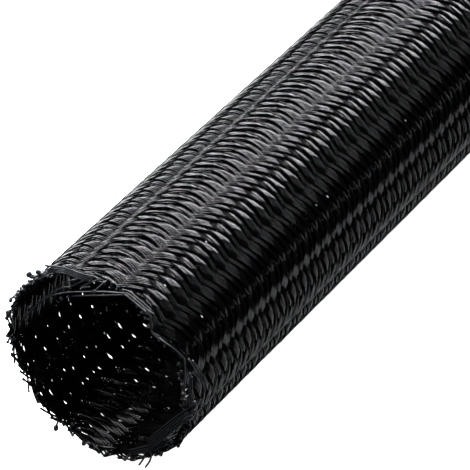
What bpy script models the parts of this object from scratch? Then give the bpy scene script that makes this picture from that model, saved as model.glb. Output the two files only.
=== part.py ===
"""Braided cable sleeve: a straight cut length of expandable tube, braided from monofilament.

Metres, +Z up. The tube lies along Y with its open mouth at -Y, and rests on z = 0 on two of
its own lengthwise ridges. The origin is on the floor, below the middle of the tube.

The braid passes over two and under two, so its crossings line up in lengthwise columns.
Between two columns one set of bundles lies outside and the other inside, which makes a ridge.
At a column every bundle passes through the middle of the wall, which makes a groove.
"""

import math

import bmesh
import bpy

# Driving sizes, in metres
LENGTH = 0.500
OUTER_DIAMETER = 0.030
FILAMENT_DIAMETER = 0.00025
CRIMP_HEIGHT = 0.00038

# Counts
RIDGES = 24
POINTS_PER_RIDGE = 8

# The black PET monofilament
COLOUR = (0.012, 0.012, 0.013, 1.0)
ROUGHNESS = 0.32

# The middle of the wall, from which a bundle swings out and in by the crimp height
MIDDLE_RADIUS = OUTER_DIAMETER / 2 - CRIMP_HEIGHT - FILAMENT_DIAMETER / 2

# Edges sharper than this stay sharp: the cut ends do, the grooves between ridges do not
SHARP_ANGLE = math.radians(60)


def clear_scene():
    """Remove every object of the file that the script is run in."""
    for item in list(bpy.data.objects):
        bpy.data.objects.remove(item, do_unlink=True)


def half_wall(angle):
    """Half the wall's thickness: one filament in a groove, and the crimp added on a ridge."""
    return FILAMENT_DIAMETER / 2 + CRIMP_HEIGHT * abs(math.sin(angle * RIDGES / 2))


def section_outline(side):
    """The wall's outer (side = 1) or inner (side = -1) outline, seen along the tube.

    Angles run from straight down, where there is a groove, so a ridge lies on each side of it.
    """
    count = RIDGES * POINTS_PER_RIDGE
    points = []
    for step in range(count):
        angle = math.tau * step / count
        radius = MIDDLE_RADIUS + side * half_wall(angle)
        points.append((radius * math.sin(angle), -radius * math.cos(angle)))
    return points


def black_pet():
    """Glossy black PET monofilament."""
    material = bpy.data.materials.new("black_pet_monofilament")
    material.use_nodes = True
    shader = material.node_tree.nodes["Principled BSDF"]
    shader.inputs["Base Color"].default_value = COLOUR
    shader.inputs["Roughness"].default_value = ROUGHNESS
    shader.inputs["Metallic"].default_value = 0.0
    material.diffuse_color = COLOUR
    return material


def extruded_section(name, outlines, length):
    """A filled flat outline with its hole, extruded evenly to both sides, as a welded mesh."""
    curve = bpy.data.curves.new(name, "CURVE")
    curve.dimensions = "2D"
    curve.fill_mode = "BOTH"
    curve.extrude = length / 2
    for outline in outlines:
        spline = curve.splines.new("POLY")
        spline.points.add(len(outline) - 1)
        for point, (across, up) in zip(spline.points, outline):
            point.co = (across, up, 0.0, 1.0)
        spline.use_cyclic_u = True
    source = bpy.data.objects.new(name + "_outline", curve)
    bpy.context.scene.collection.objects.link(source)

    graph = bpy.context.evaluated_depsgraph_get()
    mesh = bpy.data.meshes.new_from_object(source.evaluated_get(graph))
    bpy.data.objects.remove(source)
    bpy.data.curves.remove(curve)

    welded = bmesh.new()
    welded.from_mesh(mesh)
    bmesh.ops.remove_doubles(welded, verts=welded.verts, dist=FILAMENT_DIAMETER / 100)
    bmesh.ops.recalc_face_normals(welded, faces=welded.faces)
    welded.to_mesh(mesh)
    welded.free()
    mesh.name = name
    mesh.materials.clear()
    return mesh


def braided_sleeve(collection):
    """The tube, laid along Y at the height where its two lowest ridges touch the floor."""
    outer = section_outline(1)
    inner = section_outline(-1)
    mesh = extruded_section("braided_sleeve", [outer, inner], LENGTH)
    mesh.shade_smooth()
    mesh.set_sharp_from_angle(angle=SHARP_ANGLE)
    mesh.materials.append(black_pet())
    tube = bpy.data.objects.new("braided_sleeve", mesh)
    tube.rotation_euler = (math.radians(90), 0.0, 0.0)
    tube.location = (0.0, 0.0, -min(up for across, up in outer))
    collection.objects.link(tube)
    return tube


def main():
    clear_scene()
    collection = bpy.data.collections.new("braided_cable_sleeve")
    bpy.context.scene.collection.children.link(collection)
    braided_sleeve(collection)


main()
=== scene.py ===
"""Braided cable sleeve: the looks of the tube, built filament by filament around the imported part."""

import math
from collections import namedtuple

import bpy
import numpy as np
from mathutils import Matrix, Vector


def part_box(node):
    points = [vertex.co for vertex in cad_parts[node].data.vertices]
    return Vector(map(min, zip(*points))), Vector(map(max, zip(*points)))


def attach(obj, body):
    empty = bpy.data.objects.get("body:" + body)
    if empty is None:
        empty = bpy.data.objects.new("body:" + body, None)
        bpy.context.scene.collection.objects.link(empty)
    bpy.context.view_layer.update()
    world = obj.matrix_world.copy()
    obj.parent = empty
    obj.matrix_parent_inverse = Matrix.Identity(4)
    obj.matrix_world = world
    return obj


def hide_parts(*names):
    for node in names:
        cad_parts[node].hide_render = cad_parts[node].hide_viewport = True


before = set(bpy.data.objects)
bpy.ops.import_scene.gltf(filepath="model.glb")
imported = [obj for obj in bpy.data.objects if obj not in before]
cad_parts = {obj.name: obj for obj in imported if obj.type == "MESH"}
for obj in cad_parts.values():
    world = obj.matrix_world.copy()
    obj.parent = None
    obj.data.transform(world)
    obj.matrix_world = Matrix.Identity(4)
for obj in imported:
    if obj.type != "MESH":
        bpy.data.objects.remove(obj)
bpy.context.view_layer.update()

MM = 0.001

# The tube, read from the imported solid
TUBE_LOW, TUBE_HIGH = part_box("braided_sleeve")
MOUTH_Y = TUBE_LOW.y
FAR_Y = TUBE_HIGH.y
AXIS_Z = (TUBE_LOW.z + TUBE_HIGH.z) / 2
OUTER_RADIUS = max(
    math.hypot(corner.co.x, corner.co.z - AXIS_Z)
    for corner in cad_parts["braided_sleeve"].data.vertices
)

# The braid: 24 bundles of five monofilaments wind each way, two over and two under
FILAMENT = 0.25 * MM
FLAT_BUNDLE_CRIMP = 0.38 * MM
ROUND_BUNDLE_CRIMP = 0.30 * MM
FLATTER_CREST = 0.06
BUNDLES_EACH_WAY = 24
BUNDLE_KINDS = 2
COPIES = BUNDLES_EACH_WAY // BUNDLE_KINDS
LAY = 34.5 * MM
MIDDLE_RADIUS = OUTER_RADIUS - FLAT_BUNDLE_CRIMP - FILAMENT / 2
SECTOR = math.tau / BUNDLES_EACH_WAY
WAVES_PER_TURN = BUNDLES_EACH_WAY / 2
SPACING = LAY / BUNDLES_EACH_WAY
REPEAT = BUNDLE_KINDS * SPACING
RISE = LAY / math.tau
FIRST_CREST = SECTOR / 2

# Where the bundles cross the horizontal plane through the axis, along the tube from the mouth
FLAT_BUNDLE_START = -0.05 * MM
OTHER_WAY_SHIFT = -SPACING / 2

# Filaments of a bundle in mm: along the tube, and out from the middle of the wall.
# Every other bundle lies flat, and the next one is bunched into two over three.
FLAT_BUNDLE = [(-0.42, 0.06), (-0.14, 0.03), (0.14, 0.03), (0.42, -0.03), (0.67, -0.16)]
ROUND_BUNDLE = [(-0.15, 0.13), (0.14, 0.12), (-0.34, -0.10), (-0.01, -0.12), (0.32, -0.12)]
WHOLE_BUNDLE = [(0.0, 0.0)]

# Half sizes of a swept section in mm: along the tube, and out. A filament's is a little over
# its radius, so that neighbours all but touch. Filaments drawn on a whole bundle have a pitch.
FILAMENT_SECTION = (0.139, 0.145)
WHOLE_FLAT_SECTION = (0.73, 0.15)
WHOLE_ROUND_SECTION = (0.44, 0.25)
PITCH_IN_BUNDLE_MM = 1.08 * FILAMENT / MM

# The two kinds of bundle, which take turns round the tube
Kind = namedtuple("Kind", "name order crimp filaments whole_section")
KINDS = [
    Kind("flat", 0, FLAT_BUNDLE_CRIMP, FLAT_BUNDLE, WHOLE_FLAT_SECTION),
    Kind("round", 1, ROUND_BUNDLE_CRIMP, ROUND_BUNDLE, WHOLE_ROUND_SECTION),
]

# The near stretch, a little more than the photograph shows, has every filament, and the far one
# has whole bundles. Each starts a whole number of repeats from the mouth, so that both lie on
# the same helices. They run a little past the mouth and the far end, where they are cut.
Stretch = namedtuple("Stretch", "name start end sides steps_per_wave")
NEAR = Stretch("near", -2 * REPEAT, 93 * MM, 6, 8)
FAR = Stretch("far", 32 * REPEAT, FAR_Y - MOUTH_Y + 3 * MM, 4, 4)

# The camera of the photograph: its lens, and how the tube's axis and mouth lie in the picture
CAMERA_LENS = 318.2
CAMERA_SENSOR = 36.0
PHOTOGRAPH_WIDTH = 470
AXIS_UP_IN_PICTURE = math.radians(43.573)
AXIS_INTO_PICTURE = math.radians(42.158)
MOUTH_FROM_CAMERA = Vector((-18.61, -18.20, 568.2)) * MM

# Angles round the tube are in degrees from the line that faces the camera, positive to the
# lower right. FACING_POLAR is that line's own angle, up from the horizontal.
FACING_POLAR = 50.65

# How far the braid of the photograph is from an even one, as (angle, amount). It is turned
# towards the lower right (degrees), and moved along the tube, away from the mouth (mm).
TURNED_BY = [(-80, 0), (-10, -0.5), (5, 0), (21, 6), (36, 4.3), (51, 4.6), (66, 1.4), (85, 0)]
MOVED_BY_MM = [(-170, 0.2), (-110, -0.9), (-60, -0.9), (-32, 0.0), (-17, 0.62), (-4, 1.02),
               (13, 1.46), (40, 1.6), (70, 1.5), (120, 1.0)]

# On the upper left, bundles lie at another slope on top of their crests than between them
LEAN = 0.13 * MM
LEAN_SHARE = [(-95, 0), (-80, 1), (0, 1), (12, 0)]

# At the mouth the braid has slipped out by this much (mm). The slip fades along the tube, grows
# no more in front of LOOSER_FROM, and each mm of it makes a bundle a tenth wider.
LOOSER_AT_MOUTH_MM = [(-180, 0.3), (-100, 0.3), (-70, 1.8), (0, 2.6), (60, 1.8), (95, 0.3)]
LOOSER_OVER = 8 * MM
LOOSER_FROM = -6 * MM
WIDER_PER_MM_LOOSER = 0.1

# Irregular movement of bundles and of single filaments: how far, and over what length
WANDER_SHARES = (1.0, 0.6, 0.4)
BUNDLE_WANDER = 0.06 * MM
BUNDLE_WANDER_LENGTH = 31 * MM
FILAMENT_WANDER = 0.018 * MM
FILAMENT_WANDER_LENGTH_ALONG = 9 * MM
FILAMENT_WANDER_LENGTH_OUT = 7 * MM

# The cut at the mouth runs along the bundles in places, so the rim rises and falls (mm)
CUT_MM = [(-178, -0.4), (-150, 0.3), (-120, -0.5), (-95, 0.2), (-66, -0.3), (-58, 0.5),
          (-19, 0.7), (-3, 0.1), (5, -1.6), (26, 0.8), (50, -2.3), (60, 0.4), (90, -0.2),
          (115, 0.4), (140, -0.5), (160, 0.3)]
MOUTH_CUT_RAGGED_BY = 0.25 * MM
FAR_CUT_RAGGED_BY = 0.15 * MM

# How far the cut ends splay outward at the mouth (mm), how much that varies, half as much along
# the tube, and over what length of filament. Swept sections are about SECTION_STEP apart.
SPLAY_MM = [(-180, 0.15), (-135, 0.25), (-112, 0.5), (-88, 0.55), (-66, 0.2), (0, 0.05),
            (60, 0.1), (90, 0.15), (130, 0.25), (160, 0.25)]
SPLAY_SPREAD_MM = 0.15
SPLAY_ALONG_SHARE = 0.5
SPLAY_OVER = 3.0 * MM
SECTION_STEP = 1.0 * MM

# Filaments that have come free at the mouth. Each line is how many lie side by side, how far
# apart, and the way they run, as (across, down) in the photograph and mm along the tube.
LOOSE = [
    (1, (0, 0), [(126, 293.3, -0.8), (107, 291.6, -0.8), (94, 291.6, -0.8), (72, 292, -0.8),
                 (64, 292.8, -0.8), (52, 295.3, -0.8), (43, 299.5, -0.8), (33, 309, -0.6),
                 (20.4, 322, -0.3)]),
    (1, (0, 0), [(126, 294.6, -0.8), (110, 295.4, -0.8), (90, 295.2, -0.8), (72, 296.5, -0.8)]),
    (1, (0, 0), [(92, 277.5, -0.6), (84, 280, -0.6), (72, 286.5, -0.6), (62, 287.5, -0.6),
                 (52, 293, -0.6), (43, 299, -0.6)]),
    (1, (0, 0), [(101, 279, -0.5), (93, 281.6, -0.5), (80, 287.5, -0.5)]),
    (1, (0, 0), [(77, 279.5, -0.4), (69, 281, -0.4)]),
    (1, (0, 0), [(90, 286.5, -0.7), (81, 288, -0.7)]),
    (1, (0, 0), [(27.5, 281, -0.3), (37, 280.3, -0.3), (44, 277, -0.3), (52, 273.5, -0.3),
                 (62, 271.5, -0.3)]),
    (4, (-0.5, 1.7), [(50, 267, -0.3), (62, 266.8, -0.4), (72, 270, -0.5), (82, 274, -0.6),
                      (92, 276.5, -0.6)]),
    (3, (2.2, -1.6), [(126, 295.5, -1.2), (137, 304.5, -1.4), (148.5, 314.8, -1.5)]),
    (2, (0.9, 0.1), [(149.6, 315, -1.6), (150.2, 322, -1.5), (151, 330, -1.4)]),
    (1, (0, 0), [(151, 330, -1.4), (153, 335, -1.3), (160, 339.5, -1.2), (168, 344.5, -1.0),
                 (177, 351, -0.8), (184.5, 358.5, -0.7)]),
    (1, (0, 0), [(184.5, 358.5, -0.8), (185.3, 366, -1.0), (184.8, 380, -1.2),
                 (184.3, 391, -1.3), (183.3, 400, -1.2), (182, 409, -1.0)]),
    (2, (2.5, -1.0), [(188.5, 359, -1.5), (195, 369, -1.6), (200, 377, -1.5), (205, 391, -1.3)]),
    (2, (1.8, 0.2), [(190, 372, -1.4), (190, 385, -1.4), (189, 404, -1.2)]),
    (1, (0, 0), [(62, 421, 0.0), (68, 427.5, 0.0), (83, 438.3, 0.0), (97, 445, 0.0),
                 (107, 447.5, 0.0), (116, 447.7, 0.0)]),
    (1, (0, 0), [(103, 454, 0.2), (119, 457.5, 0.2), (135, 460.5, 0.2)]),
    (1, (0, 0), [(144.5, 455, 0.0), (144, 458.3, 0.0), (140.8, 462.5, 0.0), (138, 466.5, 0.0)]),
    (1, (0, 0), [(150.5, 452, 0.0), (151.4, 457, 0.0), (149.6, 462, 0.0), (144, 469, 0.0)]),
    (5, (0.8, 2.4), [(192, 406, -0.5), (176, 416, -0.5), (160, 429, -0.4), (147, 440, -0.3)]),
    (3, (1.0, 2.5), [(129, 450, 0.0), (150, 445, 0.0), (167, 439, 0.0)]),
    (1, (0, 0), [(15.4, 304.5, -0.3), (11.5, 309.5, -0.3), (9, 313.5, -0.3)]),
]
LOOSE_RADIUS = FILAMENT * 0.55
UNEVEN_LENGTHS = 0.15
MERGE_DISTANCE = FILAMENT / 100

# Larger melted knobs of the photograph: (across, down), mm along the tube, and their radius
KNOBS = [(29, 274.5, -0.4, 0.40), (31, 277, -0.4, 0.3), (38, 272, -0.4, 0.35),
         (23.7, 286, -0.3, 0.35), (24.3, 289.5, -0.3, 0.3), (18, 294.5, -0.3, 0.38),
         (16.5, 298, -0.3, 0.36), (10.6, 300.3, -0.3, 0.32), (8.6, 312.6, -0.3, 0.42),
         (8.8, 315.5, -0.3, 0.42), (6.7, 318, -0.3, 0.3), (70, 287.4, -0.7, 0.28),
         (94, 291.6, -0.9, 0.3), (68.3, 297, -0.9, 0.32), (61.7, 298.7, -0.9, 0.28),
         (30.8, 307.4, -0.6, 0.3), (26.7, 320.3, -0.4, 0.28), (40, 301, -0.8, 0.25),
         (184.3, 394.5, -1.4, 0.35), (194, 402.5, -1.2, 0.36), (15, 338, -0.2, 0.36),
         (12.5, 355, -0.2, 0.36), (73, 424, -0.1, 0.3), (56, 428, 0.1, 0.4),
         (84, 443, 0.1, 0.4), (92, 447, 0.1, 0.38), (120, 459, 0.1, 0.45),
         (128, 463, 0.1, 0.45), (132, 459, 0.0, 0.4), (172, 441, 0.0, 0.35)]
LONGEST_STEM = 2.0 * MM
STEM_START = 1.5 * MM

# Small knobs on every cut filament
SMALL_KNOB_MM = (0.14, 0.26)
KNOB_UNEVEN = (0.8, 1.25)
KNOB_SEGMENTS = 6
KNOB_RINGS = 4

# Surface of the filaments. Real die lines are microns wide, and are drawn coarser to show. The
# sum of two noises lies mostly in the range.
PET_IOR = 1.57
DIE_LINE_MM = 0.03
SCUFF_MM = 3.0
TWO_NOISES_RANGE = (0.7, 1.3)

# The lights aim at the axis this far from the mouth
LIT_PLACE = 40 * MM

dice = np.random.default_rng(7)


def deselect():
    """Nothing selected, so that the next operator acts on its own piece only."""
    for item in bpy.context.selected_objects:
        item.select_set(False)


def make_active(piece):
    """Only this piece selected, and active."""
    deselect()
    piece.select_set(True)
    bpy.context.view_layer.objects.active = piece


def own_copy(piece):
    """A copy of a piece with its own mesh."""
    copy = piece.copy()
    copy.data = piece.data.copy()
    bpy.context.scene.collection.objects.link(copy)
    return copy


def join(pieces, name):
    """Several pieces as one, with the given name."""
    deselect()
    for piece in pieces:
        piece.select_set(True)
    bpy.context.view_layer.objects.active = pieces[0]
    bpy.ops.object.join()
    joined = bpy.context.object
    joined.name = name
    joined.data.name = name
    return joined


def get_points(mesh):
    """The places of a mesh's vertices, one a row."""
    values = np.empty(len(mesh.vertices) * 3)
    mesh.vertices.foreach_get("co", values)
    return values.reshape(-1, 3)


def set_points(mesh, points):
    """Move a mesh's vertices to the given places."""
    mesh.vertices.foreach_set("co", points.reshape(-1))
    mesh.update()


def delete_points(piece, doomed):
    """Delete the marked vertices of a piece."""
    make_active(piece)
    bpy.ops.object.mode_set(mode="EDIT")
    bpy.ops.mesh.select_mode(type="VERT")
    bpy.ops.mesh.select_all(action="DESELECT")
    bpy.ops.object.mode_set(mode="OBJECT")
    piece.data.vertices.foreach_set("select", doomed.reshape(-1))
    bpy.ops.object.mode_set(mode="EDIT")
    bpy.ops.mesh.delete(type="VERT")
    bpy.ops.object.mode_set(mode="OBJECT")


def cap_ends(piece):
    """Close the open end of every filament with one face."""
    make_active(piece)
    bpy.ops.object.mode_set(mode="EDIT")
    bpy.ops.mesh.select_all(action="DESELECT")
    bpy.ops.mesh.select_mode(type="EDGE")
    bpy.ops.mesh.select_non_manifold(extend=False, use_wire=False, use_boundary=True,
                                     use_multi_face=False, use_non_contiguous=False,
                                     use_verts=False)
    bpy.ops.mesh.edge_face_add()
    bpy.ops.object.mode_set(mode="OBJECT")


def photograph_camera():
    """The camera, placed by how the tube lies in the picture. Gives its axes and its place."""
    flat = math.cos(AXIS_INTO_PICTURE)
    deep = math.sin(AXIS_INTO_PICTURE)
    across = math.cos(AXIS_UP_IN_PICTURE)
    up = math.sin(AXIS_UP_IN_PICTURE)
    facing = math.radians(FACING_POLAR)
    # Three directions: along the tube, out to the line that faces the camera, and out to its
    # lower right. First as right, up and forward in the picture, then as the real x, y and z.
    seen = Matrix((
        (flat * across, flat * up, deep),
        (deep * across, deep * up, -flat),
        (up, -across, 0.0),
    ))
    real = Matrix((
        (0.0, 1.0, 0.0),
        (math.cos(facing), 0.0, math.sin(facing)),
        (math.sin(facing), 0.0, -math.cos(facing)),
    ))
    from_picture = real.transposed() @ seen
    mouth = Vector((0.0, MOUTH_Y, AXIS_Z))
    place = mouth - from_picture @ MOUTH_FROM_CAMERA
    right, upward, forward = from_picture.transposed()
    turn = Matrix((right, upward, -forward)).transposed()
    bpy.ops.object.camera_add()
    camera = bpy.context.object
    camera.matrix_world = Matrix.Translation(place) @ turn.to_4x4()
    camera.data.lens = CAMERA_LENS
    camera.data.sensor_width = CAMERA_SENSOR
    camera.data.clip_start = 0.01
    camera.data.clip_end = 20.0
    bpy.context.scene.camera = camera
    return from_picture, place


picture_axes, camera_place = photograph_camera()


def picture_point(across, down, along):
    """The place seen at a pixel of the photograph, in the plane across the tube at that length."""
    half = PHOTOGRAPH_WIDTH / 2
    focal = PHOTOGRAPH_WIDTH * CAMERA_LENS / CAMERA_SENSOR
    ray = picture_axes @ Vector(((across - half) / focal, (half - down) / focal, 1.0))
    reach = (MOUTH_Y + along * MM - camera_place.y) / ray.y
    return camera_place + ray * reach


def picture_angle(points):
    """Degrees round the tube from the line that faces the camera."""
    polar = np.degrees(np.arctan2(points[..., 2] - AXIS_Z, points[..., 0]))
    return (FACING_POLAR - polar + 180.0) % 360.0 - 180.0


def round_the_tube(knots, rounding=4):
    """A function of the angle through given (angle, amount) pairs, rounded by degrees."""
    fine = np.arange(-180.0, 180.0, 1.0)
    rough = np.interp(fine, *zip(*knots), period=360)
    shifts = range(-rounding, rounding + 1)
    smooth = sum(np.roll(rough, shift) for shift in shifts) / len(shifts)
    return lambda angles: np.interp(angles, fine, smooth, period=360)


turned_by = round_the_tube(TURNED_BY)
moved_by = round_the_tube(MOVED_BY_MM)
looser_by = round_the_tube(LOOSER_AT_MOUTH_MM)
cut_line = round_the_tube(CUT_MM)
splayed_by = round_the_tube(SPLAY_MM)


def sweep(stretch, along, out, half_along, half_out):
    """A closed section primitive on the wall at +X, swept into a helix round the tube's axis.

    The helix winds clockwise, seen from the mouth, going away from it. The section's place is
    along the tube and out from the middle of the wall.
    """
    deselect()
    bpy.ops.mesh.primitive_circle_add(vertices=stretch.sides, radius=1.0, location=(0.0, 0.0, 0.0))
    piece = bpy.context.object
    bpy.ops.object.mode_set(mode="EDIT")
    bpy.ops.mesh.select_all(action="SELECT")
    bpy.ops.transform.rotate(value=math.pi / stretch.sides, orient_axis="Z")
    # A flat side reaches less far than the circle's radius, and a square has one outward too
    flat_reach = math.cos(math.pi / stretch.sides)
    out_reach = flat_reach if stretch.sides == 4 else 1.0
    bpy.ops.transform.resize(value=(half_out / out_reach, half_along / flat_reach, 1.0))
    bpy.ops.transform.translate(value=(MIDDLE_RADIUS + out, along + stretch.start, 0.0))
    bpy.ops.object.mode_set(mode="OBJECT")
    across = piece.data.attributes.new("across", "FLOAT", "POINT")
    for number, corner in enumerate(piece.data.vertices):
        across.data[number].value = (corner.co.y - stretch.start) / MM
    turns = (stretch.end - stretch.start) / LAY
    screw = piece.modifiers.new("winding", "SCREW")
    screw.axis = "Y"
    screw.angle = turns * math.tau
    screw.screw_offset = turns * LAY
    screw.steps = round(turns * WAVES_PER_TURN * stretch.steps_per_wave)
    screw.render_steps = screw.steps
    screw.use_smooth_shade = True
    bpy.ops.object.modifier_apply(modifier=screw.name)
    return piece


def crimp(piece, along, height):
    """Push a swept filament out and in, so that it passes over two and under two."""
    points = get_points(piece.data)
    polar = np.arctan2(points[:, 2], points[:, 0])
    radius = np.hypot(points[:, 0], points[:, 2])
    # A filament beside its bundle's middle meets the crossing bundles a little sooner or later
    phase = WAVES_PER_TURN * (polar - along / (2 * RISE) - FIRST_CREST)
    lift = height * (np.cos(phase) - FLATTER_CREST * np.cos(3 * phase))
    points[:, 0] = (radius + lift) * np.cos(polar)
    points[:, 2] = (radius + lift) * np.sin(polar)
    set_points(piece.data, points)


def turned_copy(piece, angle, shift, mirrored):
    """A copy of a strand, turned round the tube's axis, moved along it and put at the tube."""
    copy = own_copy(piece)
    place = Matrix.Translation((0.0, MOUTH_Y + shift, AXIS_Z))
    if mirrored:
        place = place @ Matrix.Scale(-1.0, 4, (1.0, 0.0, 0.0))
    copy.data.transform(place @ Matrix.Rotation(angle, 4, "Y"))
    if mirrored:
        copy.data.flip_normals()
    return copy


def wind(stretch, kind, layout, section, way):
    """Twelve equal bundles of one kind, turned round the tube, as one evenly wound piece."""
    mirrored = way == "anticlockwise"
    shift = FLAT_BUNDLE_START + kind.order * SPACING + (OTHER_WAY_SHIFT if mirrored else 0.0)
    half_along, half_out = section
    copies = []
    for along, out in layout:
        base = sweep(stretch, along * MM, out * MM, half_along * MM, half_out * MM)
        crimp(base, along * MM, kind.crimp)
        for number in range(COPIES):
            angle = -number * BUNDLE_KINDS * SECTOR
            copies.append(turned_copy(base, angle, shift, mirrored))
        bpy.data.objects.remove(base)
    return join(copies, stretch.name + "_" + kind.name + "_bundles_" + way)


def wander(distance, amplitude, wave_length):
    """Gentle irregular movement along each strand, different for each one."""
    phase = dice.uniform(0, math.tau, (len(distance), len(WANDER_SHARES)))
    total = 0.0
    for number, share in enumerate(WANDER_SHARES):
        turn = math.tau * distance / (wave_length * share) + phase[:, number].reshape(-1, 1)
        total = total + amplitude * share * np.sin(turn)
    return total


def settle(piece, layout, sides, way, filament_wander):
    """Bend evenly wound strands to the photographed braid. Gives points by strand and section."""
    strands = len(layout) * COPIES
    points = get_points(piece.data).reshape(strands, -1, sides, 3)
    middle = points.mean(axis=2)
    angle = picture_angle(middle)
    distance = middle[..., 1] - MOUTH_Y

    along = moved_by(angle) * MM
    crest = math.pi - FIRST_CREST if way == "anticlockwise" else FIRST_CREST
    from_crest = np.radians(FACING_POLAR - angle) - crest
    lean = LEAN * np.interp(angle, *zip(*LEAN_SHARE))
    along -= lean * np.sin(WAVES_PER_TURN * from_crest)
    slip = looser_by(angle) * MM * np.exp(-np.maximum(distance, LOOSER_FROM) / LOOSER_OVER)
    in_bundle = np.repeat([place for place, _ in layout], COPIES)[:, None]
    along += in_bundle * slip * WIDER_PER_MM_LOOSER - slip
    bundle_wander = wander(distance[:COPIES], BUNDLE_WANDER, BUNDLE_WANDER_LENGTH)
    along += bundle_wander[np.arange(strands) % COPIES]
    along += wander(distance, filament_wander, FILAMENT_WANDER_LENGTH_ALONG)
    out = wander(distance, filament_wander, FILAMENT_WANDER_LENGTH_OUT)

    across, up = points[..., 0].copy(), points[..., 2] - AXIS_Z
    radius = np.hypot(across, up) + out[..., None]
    polar = np.arctan2(up, across) - np.radians(turned_by(angle))[..., None]
    points[..., 0] = radius * np.cos(polar)
    points[..., 1] += along[..., None]
    points[..., 2] = radius * np.sin(polar) + AXIS_Z
    return points


def cut_mouth(points):
    """Mark the sections in front of the cut. Each strand is then kept from one section on."""
    middle = points.mean(axis=2)
    line = cut_line(picture_angle(middle)) * MM + MOUTH_Y
    line = line + dice.normal(0, MOUTH_CUT_RAGGED_BY, (len(points), 1))
    cut_off = middle[..., 1] < line
    return np.flip(np.maximum.accumulate(np.flip(cut_off, axis=1), axis=1), axis=1)


def flare(points, first):
    """Spread the strands' cut ends a little out or in, and along, over their last stretch."""
    strands, sections = points.shape[:2]
    from_end = (np.arange(sections)[None, :] - first[:, None]) * SECTION_STEP
    share = np.exp(-np.maximum(from_end, 0.0) / SPLAY_OVER)[..., None]
    end = points[np.arange(strands), first].mean(axis=1)
    splay = splayed_by(picture_angle(end)).reshape(-1, 1, 1)
    out = (splay + dice.normal(0.0, SPLAY_SPREAD_MM, (strands, 1, 1))) * MM * share
    along = dice.normal(0.0, SPLAY_ALONG_SHARE, (strands, 1, 1)) * SPLAY_SPREAD_MM * MM * share
    across, up = points[..., 0].copy(), points[..., 2] - AXIS_Z
    radius = np.hypot(across, up)
    scale = (radius + out) / radius
    points[..., 0] = across * scale
    points[..., 1] += along
    points[..., 2] = up * scale + AXIS_Z
    return points


def near_bundles(kind, way):
    """The near stretch of one kind of bundle, filament by filament, and its cut ends' places."""
    piece = wind(NEAR, kind, kind.filaments, FILAMENT_SECTION, way)
    points = settle(piece, kind.filaments, NEAR.sides, way, FILAMENT_WANDER)
    cut_off = cut_mouth(points)
    strands, sections = cut_off.shape
    first = np.minimum(cut_off.sum(axis=1), sections - 1)
    points = flare(points, first)
    set_points(piece.data, points)
    delete_points(piece, np.repeat(cut_off[..., None], NEAR.sides, axis=2))
    cap_ends(piece)
    return piece, points[np.arange(strands), first].mean(axis=1)


def far_bundles(kind, way):
    """The far stretch of one kind of bundle, each bundle whole, cut straight at the far end."""
    piece = wind(FAR, kind, WHOLE_BUNDLE, kind.whole_section, way)
    points = settle(piece, WHOLE_BUNDLE, FAR.sides, way, 0.0)
    line = FAR_Y + dice.normal(0, FAR_CUT_RAGGED_BY, (COPIES, 1))
    beyond = points[..., 1].min(axis=2) > line
    points[..., 1] = np.minimum(points[..., 1], line[..., None])
    set_points(piece.data, points)
    delete_points(piece, np.repeat(beyond[..., None], FAR.sides, axis=2))
    cap_ends(piece)
    return piece


def loose_filament(spots):
    """One free filament through the given places, a bevelled path made into a mesh."""
    deselect()
    bpy.ops.curve.primitive_nurbs_path_add(location=(0.0, 0.0, 0.0))
    strand = bpy.context.object
    spline = strand.data.splines[0]
    spline.points.add(max(0, len(spots) - len(spline.points)))
    steps = np.linspace(0, len(spots) - 1, len(spline.points))
    places = [np.interp(steps, range(len(spots)), values) for values in zip(*spots)]
    for point, place in zip(spline.points, zip(*places)):
        point.co = (*place, 1.0)
    spline.order_u = 3
    spline.use_endpoint_u = True
    spline.resolution_u = 4
    strand.data.bevel_depth = LOOSE_RADIUS
    strand.data.bevel_resolution = 1
    strand.data.use_fill_caps = True
    bpy.ops.object.convert(target="MESH")
    bpy.ops.object.shade_smooth()
    return bpy.context.object


def loose_filaments(cut_ends, knobs, name):
    """The filaments that have come free at the mouth, and a short stem to each larger knob."""
    strands = []
    for count, (right, down), path in LOOSE:
        for number in range(count):
            shorter = dice.uniform(-UNEVEN_LENGTHS, UNEVEN_LENGTHS) if count > 1 else 0.0
            spots = [picture_point(x + right * number, y + down * number, s) for x, y, s in path]
            spots = [spot.lerp(spots[-1], shorter * (1 - i / (len(spots) - 1)))
                     for i, spot in enumerate(spots)]
            strands.append(loose_filament(spots))
    cut_ends = np.array(cut_ends)
    for place, _ in knobs:
        nearest = Vector(cut_ends[((cut_ends - np.array(place)) ** 2).sum(axis=1).argmin()])
        if (place - nearest).length < LONGEST_STEM:
            inward = nearest + Vector((0.0, STEM_START, 0.0))
            strands.append(loose_filament([inward, nearest, place]))
    joined = join(strands, name)
    # A bevelled path's caps are separate faces until their corners are merged
    bpy.ops.object.mode_set(mode="EDIT")
    bpy.ops.mesh.select_all(action="SELECT")
    bpy.ops.mesh.remove_doubles(threshold=MERGE_DISTANCE)
    bpy.ops.object.mode_set(mode="OBJECT")
    return joined


def melted_ends(knobs, name):
    """Knobs where the hot cut melted the filaments' ends."""
    deselect()
    bpy.ops.mesh.primitive_uv_sphere_add(segments=KNOB_SEGMENTS, ring_count=KNOB_RINGS, radius=1.0,
                                         location=(0.0, 0.0, 0.0))
    base = bpy.context.object
    bpy.ops.object.shade_smooth()
    copies = []
    for place, radius in knobs:
        copy = own_copy(base)
        size = dice.uniform(*KNOB_UNEVEN, 3) * radius
        turn = Matrix.Rotation(dice.uniform(0, math.pi), 4, Vector(dice.normal(0, 1, 3)))
        copy.data.transform(Matrix.Translation(place) @ turn @ Matrix.Diagonal((*size, 1.0)))
        copies.append(copy)
    bpy.data.objects.remove(base)
    return join(copies, name)


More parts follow.
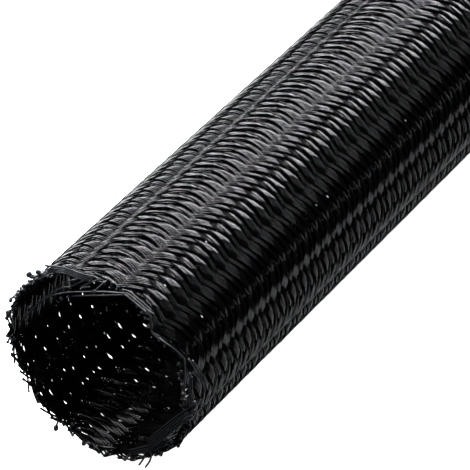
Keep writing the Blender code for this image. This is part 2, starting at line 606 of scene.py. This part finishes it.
def to_linear(text):
    """An sRGB hex colour as linear RGBA."""
    channels = [int(text[i:i + 2], 16) / 255 for i in (1, 3, 5)]
    linear = [c / 12.92 if c <= 0.04045 else ((c + 0.055) / 1.055) ** 2.4 for c in channels]
    return (*linear, 1.0)


def add_node(tree, kind, settings=None, inputs=None):
    """Add one shader node, set its options, and set or link its inputs."""
    node = tree.nodes.new(kind)
    for key, value in (settings or {}).items():
        setattr(node, key, value)
    for key, value in (inputs or {}).items():
        if isinstance(value, bpy.types.NodeSocket):
            tree.links.new(value, node.inputs[key])
        else:
            node.inputs[key].default_value = value
    return node


def monofilament(name, colour, roughness, side_by_side=False):
    """Black PET monofilament, melt-spun: a smooth drawn skin, which gives thin sharp glints.

    Side by side, filaments are drawn as bump on the whole bundles of the far stretch.
    """
    material = bpy.data.materials.new(name)
    material.use_nodes = True
    tree = material.node_tree
    shader = tree.nodes["Principled BSDF"]
    shader.inputs["Base Color"].default_value = to_linear(colour)
    shader.inputs["IOR"].default_value = PET_IOR
    across = add_node(tree, "ShaderNodeAttribute", {"attribute_name": "across"})
    # Die lines: faint streaks along each filament, which break its glint into finer ones
    streaks = add_node(tree, "ShaderNodeTexNoise", {"noise_dimensions": "1D"},
                       {"W": across.outputs["Fac"], "Scale": 1 / DIE_LINE_MM, "Detail": 2.0})
    # Handling dust and scuffs, a few millimetres wide: duller patches in the shine
    place = add_node(tree, "ShaderNodeTexCoord")
    scuffs = add_node(tree, "ShaderNodeTexNoise", None,
                      {"Vector": place.outputs["Object"], "Scale": 1 / (SCUFF_MM * MM),
                       "Detail": 3.0})
    both = add_node(tree, "ShaderNodeMath", {"operation": "ADD"},
                    {0: streaks.outputs["Fac"], 1: scuffs.outputs["Fac"]})
    rough = add_node(tree, "ShaderNodeMapRange", None,
                     {"Value": both.outputs["Value"], "From Min": TWO_NOISES_RANGE[0],
                      "From Max": TWO_NOISES_RANGE[1], "To Min": roughness[0],
                      "To Max": roughness[1]})
    tree.links.new(rough.outputs["Result"], shader.inputs["Roughness"])
    if side_by_side:
        # The round backs of the filaments, as high as a filament's thickness
        turns = add_node(tree, "ShaderNodeMath", {"operation": "MULTIPLY"},
                         {0: across.outputs["Fac"], 1: math.pi / PITCH_IN_BUNDLE_MM})
        wave = add_node(tree, "ShaderNodeMath", {"operation": "COSINE"},
                        {0: turns.outputs["Value"]})
        backs = add_node(tree, "ShaderNodeMath", {"operation": "ABSOLUTE"},
                         {0: wave.outputs["Value"]})
        relief = add_node(tree, "ShaderNodeBump", None,
                          {"Height": backs.outputs["Value"], "Distance": FILAMENT})
        tree.links.new(relief.outputs["Normal"], shader.inputs["Normal"])
    return material


# Carbon black in the melt: no colour of its own, a little cooler than neutral
single = monofilament("black_pet_melt_spun_monofilament", "#0b0b0d", (0.09, 0.17))
bundled = monofilament("black_pet_melt_spun_monofilament_in_bundles", "#0b0b0d", (0.09, 0.17),
                       side_by_side=True)
# At the cut it is bent, rubbed and partly melted, so the skin is duller there. Its grey is painted
# sheen, standing in for light caught by the cut ends.
worn_with_painted_sheen = monofilament("black_pet_melt_spun_monofilament_at_cut", "#37383c", (0.12, 0.23))

pieces = []
cut_ends = []
for way in ("clockwise", "anticlockwise"):
    for kind in KINDS:
        near_piece, near_ends = near_bundles(kind, way)
        near_piece.data.materials.append(single)
        pieces.append(near_piece)
        cut_ends.extend(near_ends)
        far_piece = far_bundles(kind, way)
        far_piece.data.materials.append(bundled)
        pieces.append(far_piece)

large_knobs = [(picture_point(x, y, along), radius * MM) for x, y, along, radius in KNOBS]
free_ends = loose_filaments(cut_ends, large_knobs, "loose_filaments_at_mouth")
small_knobs = [(place, dice.uniform(*SMALL_KNOB_MM) * MM) for place in cut_ends]
knobs = melted_ends(small_knobs + large_knobs, "melted_ends_at_mouth")
# The free filaments and knobs take the painted sheen of the cut: a grey lighter than their real black
for piece in (free_ends, knobs):
    piece.data.materials.append(worn_with_painted_sheen)
    pieces.append(piece)

for piece in pieces:
    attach(piece, "root")
    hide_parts("braided_sleeve")

# The floor is paper lit to pure white. It neither shades the sleeve nor shows in its skin,
# and lets the light of the low softboxes through.
deselect()
bpy.ops.mesh.primitive_plane_add(size=6.0, location=(0.0, 0.0, 0.0))
floor = bpy.context.object
floor.name = "floor"
paper = bpy.data.materials.new("white_paper")
paper.use_nodes = True
paper_shader = paper.node_tree.nodes["Principled BSDF"]
paper_shader.inputs["Base Color"].default_value = to_linear("#f4f4f4")
paper_shader.inputs["Roughness"].default_value = 0.9
paper_shader.inputs["Emission Color"].default_value = (1.0, 1.0, 1.0, 1.0)
paper_shader.inputs["Emission Strength"].default_value = 1.1
floor.data.materials.append(paper)
floor.visible_diffuse = False
floor.visible_glossy = False
floor.visible_shadow = False

world = bpy.data.worlds.new("studio")
bpy.context.scene.world = world
world.use_nodes = True
background = world.node_tree.nodes["Background"]
background.inputs["Color"].default_value = (1.0, 1.0, 1.0, 1.0)
background.inputs["Strength"].default_value = 0.02


def softbox(name, along, angle, size, power):
    """An area light a metre away, aimed at the tube near its mouth.

    Its direction is given by its share along the tube, away from the mouth where positive, and by
    its angle round the tube from the line that faces the camera. Size is (round, along) in metres.
    """
    target = Vector((0.0, MOUTH_Y + LIT_PLACE, AXIS_Z))
    polar = math.radians(FACING_POLAR - angle)
    flat = math.sqrt(1.0 - along * along)
    towards = Vector((flat * math.cos(polar), along, flat * math.sin(polar)))
    bpy.ops.object.light_add(type="AREA", location=target + towards)
    light = bpy.context.object
    light.name = name
    light.data.shape = "RECTANGLE"
    light.data.size, light.data.size_y = size
    light.data.energy = power
    light.data.color = (0.95, 0.97, 1.0)
    round_tube = Vector((0.0, 1.0, 0.0)).cross(towards).normalized()
    turn = Matrix((round_tube, towards.cross(round_tube), towards)).transposed()
    light.rotation_mode = "QUATERNION"
    light.rotation_quaternion = turn.to_quaternion()


# Each one is there for rows of bundles that shine in the photograph, or for a part of the mouth
softbox("upper_left_softbox", 0.3, -64, (0.4, 0.2), 12.5)
softbox("high_left_softbox", 0.72, -67, (0.5, 0.25), 4.0)
softbox("overhead_softbox", 0.36, -50, (0.2, 0.2), 2.0)
softbox("back_softbox", 0.6, -31, (0.5, 0.2), 16.0)
softbox("back_right_softbox", 0.6, 12, (0.4, 0.2), 1.5)
softbox("back_left_softbox", 0.5, -120, (0.5, 0.25), 3.5)
softbox("left_softbox", 0.0, -100, (0.5, 0.25), 6.0)
softbox("front_left_softbox", -0.5, -95, (0.3, 0.3), 4.0)
softbox("front_softbox", -0.85, 60, (0.3, 0.3), 2.0)
softbox("bounce_from_table", 0.47, 88, (0.5, 0.25), 1.5)
softbox("bounce_from_behind", 0.55, 125, (0.5, 0.25), 0.8)

# The photograph's deep blacks
bpy.context.scene.view_settings.view_transform = "Standard"
bpy.context.scene.view_settings.gamma = 0.85
